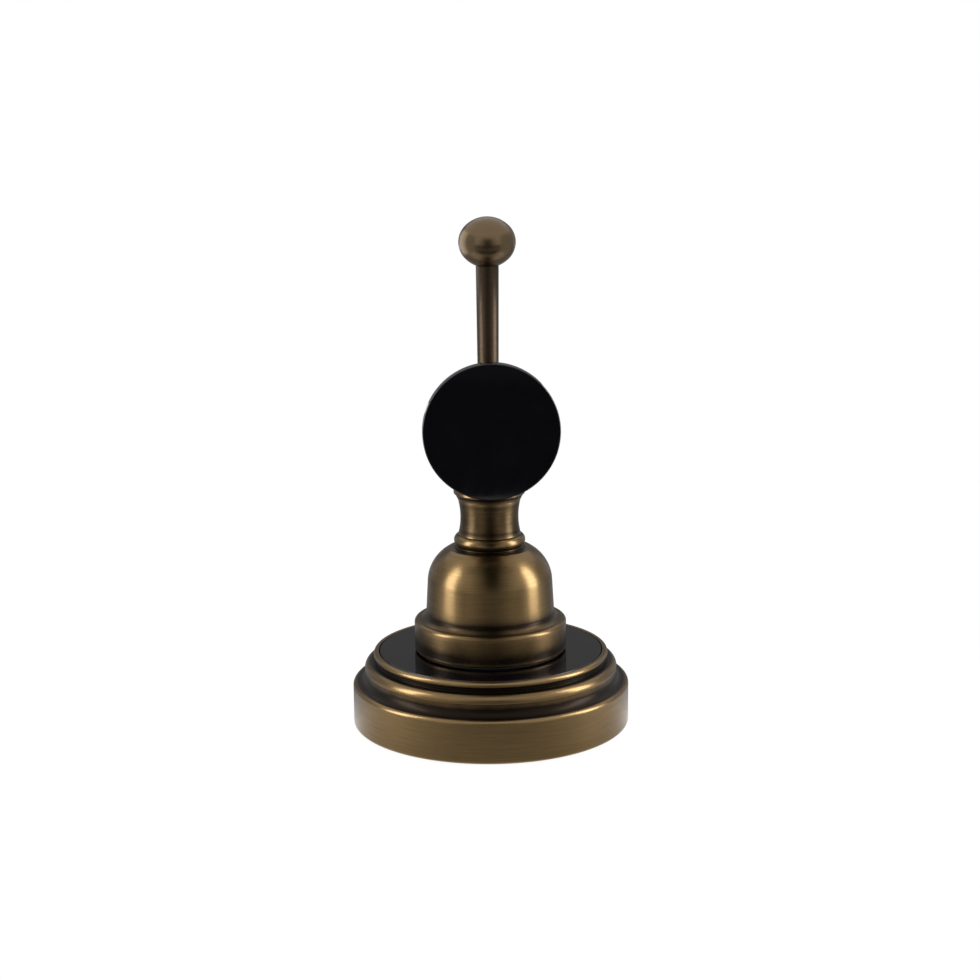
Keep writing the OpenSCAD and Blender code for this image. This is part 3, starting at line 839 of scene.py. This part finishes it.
def hub_outline():
    """From the end of the tie rod's blind hole down to its mouth, up the ball to the peg's flat, and down
    the peg's hole."""
    low_angle = -math.degrees(math.acos(TIE_THREAD / hub_r))
    high_angle = math.degrees(math.acos(PEG_FLAT / hub_r))
    tie_end = tie_high[2] + CLEAR
    peg_end = peg_low[2] - CLEAR
    return outline(
        (0, tie_end), (TIE_THREAD, tie_end), arc((0, hub_z), hub_r, low_angle, high_angle),
        (SPIGOT_HOLE, hub_high[2]), (SPIGOT_HOLE, peg_end), (0, peg_end),
    )


hub_limit = (-np.inf, plate_high[1], -np.inf)
turned_piece("ball_hub", hub_outline(), "head_ball", "antique_brass", brass_finish,
             closed=False, lay=lambda grid: np.maximum(grid, hub_limit))

# %% [markdown]
# ## The disc and its plate
#
# The disc faces the viewer, so its axis points along -Y. The object could be turned over, but a finish that
# reads the object's coordinates is simpler when nothing is turned. So the grid is laid over: height above
# the disc's back becomes distance to the front.

# %% The disc and its plate
DISC_EDGE = 0.25
PLATE_CHAMFER = 0.4
PLATE_HOLE = 2.2
PLATE_SINK = 3.8
PLATE_SINK_H = 1.6

disc_low, disc_high = box_mm("front_disc")
disc_t = disc_high[1] - disc_low[1]
disc_r = disc_high[0]
disc_z = (disc_low[2] + disc_high[2]) / 2


def facing_front(back):
    """Lays a grid made along +Z over to the front: x stays, z becomes back - z as y, and y becomes disc_z +
    y as z. Returns that as a function."""
    return lambda grid: np.stack([grid[..., 0], back - grid[..., 2], disc_z + grid[..., 1]], axis=-1)


disc_line = outline((0, 0), (disc_r, 0, DISC_EDGE), (disc_r, disc_t, DISC_EDGE), (0, disc_t))
turned_piece("glass_disc", disc_line, "front_disc", "black_glass", glass_finish,
             closed=False, lay=facing_front(disc_high[1]))

plate_t = plate_high[1] - plate_low[1]
plate_r = plate_high[0]
plate_line = outline(
    (PLATE_HOLE, 0), (plate_r - PLATE_CHAMFER, 0, SOFT), (plate_r, PLATE_CHAMFER, SOFT),
    (plate_r, plate_t, SOFT), (PLATE_SINK, plate_t), (PLATE_HOLE, plate_t - PLATE_SINK_H),
)
turned_piece("disc_plate", plate_line, "disc_backplate", "antique_brass", brass_finish,
             lay=facing_front(plate_high[1]))

# %% [markdown]
# ## Peg and knob
#
# The peg widens a little towards its knob and has a spigot at each end. The knob is a slightly flattened
# ball. A scaled sphere is not what a lathe makes: a turner joins arcs, tighter at the sides than at the
# crown, that meet without a kink.

# %% Peg and knob
SPIGOT = 1.95
SPIGOT_EDGE = 0.4
PEG_ROOT = 2.24
PEG_TIP = 2.41
PEG_AROUND = 128
KNOB_H = 10.62
KNOB_SIDE = 4.8

knob_low, knob_high = box_mm("peg_ball")
peg_root_z = hub_high[2]
peg_tip_z = knob_low[2]

peg_line = outline(
    (0, peg_low[2]), (SPIGOT, peg_low[2], SPIGOT_EDGE), (SPIGOT, peg_root_z), (PEG_ROOT, peg_root_z, SOFT),
    (PEG_TIP, peg_tip_z, SOFT), (SPIGOT, peg_tip_z), (SPIGOT, peg_high[2], SPIGOT_EDGE), (0, peg_high[2]),
)
turned_piece("peg", peg_line, "peg_rod", "antique_brass", peg_finish, closed=False, around=PEG_AROUND)


def knob_outline():
    """Half of a four-centre oval: the peg's blind hole, crown arc, side arc, crown arc. Two arcs share a
    tangent where they meet, because both centres and the joint lie on one line."""
    half = KNOB_H / 2
    mid_z = knob_high[2] - half
    side = knob_high[0] - KNOB_SIDE
    crown = (side ** 2 + half ** 2 - KNOB_SIDE ** 2) / (2 * (half - KNOB_SIDE))
    drop = crown - half
    joint = math.degrees(math.atan2(drop, side))
    seat = -math.degrees(math.acos(PEG_TIP / crown))
    hole_end = peg_high[2] + CLEAR
    return outline(
        (0, hole_end), (SPIGOT_HOLE, hole_end), (SPIGOT_HOLE, peg_tip_z),
        arc((0, mid_z + drop), crown, seat, -joint),
        arc((side, mid_z), KNOB_SIDE, -joint, joint),
        arc((0, mid_z - drop), crown, joint, 90),
    )


turned_piece("peg_knob", knob_outline(), "peg_ball", "antique_brass", knob_finish,
             closed=False, step=FINE_STEP)

# %% [markdown]
# ## Threads
#
# A thread is a turned surface whose radius rises and falls once per pitch along the axis, and the wave
# slides along by one pitch for each turn round. A Screw modifier makes a thread as well, but it leaves open
# ends. A triangle wave, cut flat at the crest and the root, is close to a rolled thread.

# %% Threaded rod
THREAD_DEPTH = 0.096
THREAD_FLAT = 0.2
ROWS_PER_PITCH = 8
TIE_PITCH = 1.0
TIE_CHAMFER = 0.4
TIE_AROUND = 48


def thread_radius(radius, along, angle, pitch):
    """Radius of a screw thread: a triangle wave of the height in pitches minus the turn, clipped at crest
    and root, times a depth that is a share of the radius."""
    phase = along[:, None] / pitch - angle[None, :] / (2 * np.pi)
    wave = np.abs(2 * (phase - np.floor(phase)) - 1)
    return radius - THREAD_DEPTH * radius * np.clip((1 + 2 * THREAD_FLAT) * wave - THREAD_FLAT, 0, 1)


def threaded_bar(low, high, radius, pitch, chamfer, around):
    """A grid for a threaded bar along Z: thread rows between two chamfers, closed by poles at both ends."""
    row = pitch / ROWS_PER_PITCH
    rows = np.arange(low, high + row / 2, row)
    angle = np.linspace(0, 2 * np.pi, around, endpoint=False)
    room = np.minimum(rows - low, high - rows)[:, None] + radius - chamfer
    body = np.minimum(thread_radius(radius, rows, angle, pitch), room)
    radii = np.vstack([np.zeros((1, around)), body, np.zeros((1, around))])
    z = np.concatenate([[low], np.minimum(rows, high), [high]])
    return round_grid(radii, z, angle), z


tie_grid, tie_z = threaded_bar(tie_low[2], tie_high[2], tie_high[0], TIE_PITCH, TIE_CHAMFER, TIE_AROUND)
place_piece("tie_thread", grid_mesh("tie_thread", tie_grid, tie_z, 0 * tie_z, False),
            "hook", "tie_rod", zinc_finish)

# %% [markdown]
# ### The grub screw
#
# The grub screw has a thread outside and a six-sided socket in its outer end. A Boolean with a six-sided
# cylinder would cut it, but the grid can simply go on inwards: the socket's wall is the circle's formula
# with the radius of a hexagon.

# %% The grub screw
GRUB_PITCH = 0.7
GRUB_CHAMFER = 0.3
GRUB_AROUND = 96
SOCKET = 1.0
SOCKET_DEPTH = 1.4
SOCKET_LEAD = 0.05


def grub_grid(length, radius):
    """A threaded bar from 0 to length along Z whose upper end turns in, over the rim and down the socket. A
    hexagon's radius is half its width across flats over the cosine of the angle from the nearest flat."""
    bar, z = threaded_bar(0, length, radius, GRUB_PITCH, GRUB_CHAMFER, GRUB_AROUND)
    angle = np.linspace(0, 2 * np.pi, GRUB_AROUND, endpoint=False)
    hexed = SOCKET / np.cos((angle + np.pi / 6) % (np.pi / 3) - np.pi / 6)
    depths = length - np.array([0, 0, SOCKET_LEAD, SOCKET_DEPTH, SOCKET_DEPTH])
    radii = np.stack([hexed + 2 * SOCKET_LEAD, hexed + SOCKET_LEAD, hexed, hexed, 0 * hexed])
    along = np.concatenate([z[:-1], length + np.arange(len(depths))])
    return np.concatenate([bar[:-1], round_grid(radii, depths, angle)]), along


grub_points, grub_along = grub_grid(grub_high[1] - grub_low[1], grub_r)
grub_points = along_back(grub_points, grub_z)
grub_points[..., 1] += grub_low[1]
grub_mesh = grid_mesh("grub_thread", grub_points, grub_along, 0 * grub_along, False)
grub_mesh.set_sharp_from_angle(angle=SHARP_EDGE)
place_piece("grub_thread", grub_mesh, "grub_screw", "rose_grub_screw", dark_finish)

# %% [markdown]
# ## Pieces that keep their solid
#
# Flat washers, the nut, the bracket and the countersunk screw are right as they are. New surfaces would show
# nothing more, so they only take a finish, through their material slots.

# %% Finishes for the remaining pieces
SOLID_FINISHES = (
    (zinc_finish, ("wall_bracket", "tie_washer", "tie_nut")),
    (dark_finish, ("tie_lock_washer", "backplate_screw")),
    (rubber_finish, ("inlay_cushion", "bell_gasket")),
)
for finish, node_names in SOLID_FINISHES:
    for node_name in node_names:
        for material_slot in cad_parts[node_name].material_slots:
            material_slot.material = finish
    print(finish.name, "on", *node_names)

# %% [markdown]
# ## Floor and world
#
# Polished metal shows the room it stands in, so the room is half of the finish. A white floor and a white
# world stand for the photographer's paper sweep. A real sweep is lit until the paper burns out to white;
# here a part of what is seen directly glows, which leaves the light on the hook alone.

# %% Floor and world
FLOOR_HALF = 2.5
FLOOR_GLOW = 0.8
SKY_FILL = 1.1
WHITE = (1, 1, 1, 1)

scene.view_settings.view_transform = "Standard"


def seen_directly(tree):
    """1 for a ray from the camera or turned by a mirror or a clear body, 0 for light that spreads."""
    path = add(tree, "LightPath").outputs
    mirrored = combined(tree, "MAXIMUM", path["Is Glossy Ray"], path["Is Transmission Ray"])
    return combined(tree, "MAXIMUM", path["Is Camera Ray"], mirrored)


def white_paper():
    """Paper that spreads light and takes the shadow; a part of what is seen directly glows white."""
    material, tree, shader, place = new_finish("white_paper", Roughness=0.9, Specular_IOR_Level=0.0)
    fibre = noise(tree, place, scale=900.0, detail=3.0)
    feed(tree, shader, Base_Color=blended(tree, fibre, srgb(244, 244, 244), srgb(249, 249, 249)))
    glow = add(tree, "Emission", {"Color": WHITE, "Strength": 1.0})
    share = combined(tree, "MULTIPLY", seen_directly(tree), FLOOR_GLOW)
    sides = {0: share, 1: shader.outputs["BSDF"], 2: glow.outputs["Emission"]}
    mix = add(tree, "MixShader", sides)
    tree.links.new(mix.outputs["Shader"], tree.nodes["Material Output"].inputs["Surface"])
    return material


def straight(half, y, z):
    """A line from left to right."""
    return [(-half, y, z), (half, y, z)]


def stage_sheet(name, first, second, material):
    """A sheet of paper or cloth between two lines, which belongs to the stage and not to the hook."""
    count = len(first)
    faces = [(i, i + 1, count + i + 1, count + i) for i in range(count - 1)]
    mesh = bpy.data.meshes.new(name)
    mesh.from_pydata(first + second, [], faces)
    mesh.materials.append(material)
    sheet = bpy.data.objects.new(name, mesh)
    scene.collection.objects.link(sheet)
    return sheet


front_edge = straight(FLOOR_HALF, -FLOOR_HALF, 0)
stage_sheet("paper_floor", front_edge, straight(FLOOR_HALF, FLOOR_HALF, 0), white_paper())

world = bpy.data.worlds.new("white_sweep")
world.use_nodes = True
scene.world = world
sky = world.node_tree.nodes["Background"]
sky.inputs["Color"].default_value = WHITE
sky_strength = mapped(world.node_tree, seen_directly(world.node_tree), 0, 1, SKY_FILL, 1)
world.node_tree.links.new(sky_strength, sky.inputs["Strength"])
print("floor and world made")

# %% [markdown]
# ## Lamps
#
# Two upright strip lamps, one on each side and a little in front, draw the bright bands on the bell and the
# neck. One lamp above would light the hook as well, but on turned metal it makes rings instead of bands.

# %% Lamps
STRIP_OUT = 0.112
STRIP_FRONT = -0.025
STRIP_Z = 0.077
STRIP_WIDTH = 0.04
STRIP_HEIGHT = 0.126
LEFT_RADIANCE = 7.0
RIGHT_RADIANCE = 8.4


def strip_lamp(name, x, radiance):
    """An upright lamp that looks at the post. Its power is radiance times pi times its area."""
    data = bpy.data.lights.new(name, "AREA")
    data.shape = "RECTANGLE"
    data.size = STRIP_WIDTH
    data.size_y = STRIP_HEIGHT
    data.energy = radiance * math.pi * STRIP_WIDTH * STRIP_HEIGHT
    made = bpy.data.objects.new(name, data)
    scene.collection.objects.link(made)
    turn = Vector((x, STRIP_FRONT, 0)).to_track_quat("Z", "Y")
    made.matrix_world = Matrix.Translation((x, STRIP_FRONT, STRIP_Z)) @ turn.to_matrix().to_4x4()
    made.visible_camera = False


strip_lamp("left_strip", -STRIP_OUT, LEFT_RADIANCE)
strip_lamp("right_strip", STRIP_OUT, RIGHT_RADIANCE)
print("lamps:", sorted(light.name for light in bpy.data.lights))

# %% [markdown]
# ## Cards and cloths
#
# In a white room brass looks flat and pale. A photographer hangs dark cloth round it, which the metal shows
# as dark stretches between the bright bands. Each cloth here is a sheet between two lines that only mirrors
# see. It glows a little instead of being lit, because then its tone is known, and the tone changes softly to
# the sides.

# %% A cloth that only mirrors see
FLAG_TOP = 0.046
FLAG_DEPTH = 0.016
FLAG_LOW = FLAG_TOP - FLAG_DEPTH
FLAG_SLACK = 0.4
BACK_ANGLES = np.radians(np.linspace(-5, 185, 40))


def bearing(tree, place):
    """Angle from straight ahead or behind, seen from the hook's axis: arctangent of |x| over |y|."""
    sideways = combined(tree, "ABSOLUTE", place["X"], 0)
    return combined(tree, "ARCTAN2", sideways, combined(tree, "ABSOLUTE", place["Y"], 0))


def below_flag(tree, place):
    """Distance from the middle of the flag's upper edge, with depth counted less than width."""
    depth = mapped(tree, place["Z"], FLAG_LOW, FLAG_TOP, FLAG_SLACK * FLAG_DEPTH, 0)
    flat = add(tree, "CombineXYZ", {"X": place["X"], "Z": depth}).outputs["Vector"]
    return add(tree, "VectorMath", {0: flat}, operation="LENGTH").outputs["Value"]


def curved(radius, z):
    """A line that runs round behind the hook: x = r cos(angle), y = r sin(angle)."""
    return [(radius * math.cos(angle), radius * math.sin(angle), z) for angle in BACK_ANGLES]


def dark_cloth(name, first, second, tones, fade=(0, 1), measure=bearing, blocks=False):
    """A cloth between two lines. It glows with the first tone while the measure is below the start of the
    fade, and with the second tone past its end. A cloth that blocks also keeps the lamps' light off."""
    material, tree, shader, place = new_finish(
        name, Roughness=1.0, Base_Color=(0, 0, 0, 1), Specular_IOR_Level=0.0, Emission_Color=WHITE,
    )
    axes = add(tree, "SeparateXYZ", {"Vector": place}).outputs
    feed(tree, shader, Emission_Strength=mapped(tree, measure(tree, axes), *fade, *tones))
    cloth = stage_sheet(name, first, second, material)
    cloth.visible_camera = False
    cloth.visible_diffuse = False
    cloth.visible_shadow = blocks


print("the back cloth has", len(BACK_ANGLES) - 1, "panels")

# %% [markdown]
# ### Hanging the cloths
#
# On the floor lie a grey mat by the foot, a dark runner towards the camera and a mat behind. A low card
# stands before the rose, a tall dark cloth hangs in front and one curves round the back. A small flag under
# the disc keeps the top of the dome dark, two beside the knob keep the strips off it, and a pale card gives
# its left side an edge. One big cloth would darken every piece alike.

# %% Hanging the cloths
ON_FLOOR = 0.0004
FLAG_HALF = 0.024
FLAG_Y = -0.026
BACK_R = 0.80
BACK_TOP = 0.45

# Half width, y and z of both edges, tones, degrees between which the tone changes.
FLAT_CLOTHS = {
    "near_mat": (1.2, (0, ON_FLOOR), (-0.065, ON_FLOOR), (0.50, 1.1), (20, 80)),
    "dark_runner": (1.2, (-0.065, ON_FLOOR), (-1.60, ON_FLOOR), (0.04, 0.9), (40, 85)),
    "back_mat": (1.2, (0, ON_FLOOR), (0.50, ON_FLOOR), (0.30, 0.9), (60, 85)),
    "low_card": (0.15, (-0.15, 0), (-0.15, 0.022), (0.55, 1.0), (15, 45)),
    "front_cloth": (0.6, (-0.50, 0), (-0.50, 0.32), (0.08, 1.0), (8, 38)),
}
# Y and z of both edges.
FLAGS = {
    "flag_front": ((FLAG_Y, FLAG_LOW), (FLAG_Y, FLAG_TOP)),
    "flag_top": ((FLAG_Y, FLAG_TOP), (-0.0128, 0.051)),
}
# X, y of front and back, z of bottom and top, tone, and whether it blocks the lamps.
SIDE_CARDS = {
    "left_gobo": (-0.017, (-0.016, -0.001), (0.0905, 0.114), 0.6, True),
    "right_gobo": (0.017, (-0.016, -0.001), (0.0905, 0.114), 0.6, True),
    "left_glow": (-0.020, (-0.001, 0.020), (0.090, 0.116), 1.9, False),
}
for cloth_name, (half, first, second, tones, fade) in FLAT_CLOTHS.items():
    dark_cloth(cloth_name, straight(half, *first), straight(half, *second), tones, np.radians(fade))
for flag_name, (first, second) in FLAGS.items():
    dark_cloth(flag_name, straight(FLAG_HALF, *first), straight(FLAG_HALF, *second),
               tones=(0.02, 0.9), fade=(0.003, 0.018), measure=below_flag)
for card_name, (x, y_ends, z_ends, tone, blocks) in SIDE_CARDS.items():
    bottom, top = [[(x, y, z) for y in y_ends] for z in z_ends]
    dark_cloth(card_name, bottom, top, tones=(tone, tone), blocks=blocks)
dark_cloth("back_cloth", curved(BACK_R, 0), curved(BACK_R, BACK_TOP),
           tones=(0.19, 0.5), fade=np.radians((26, 36)))
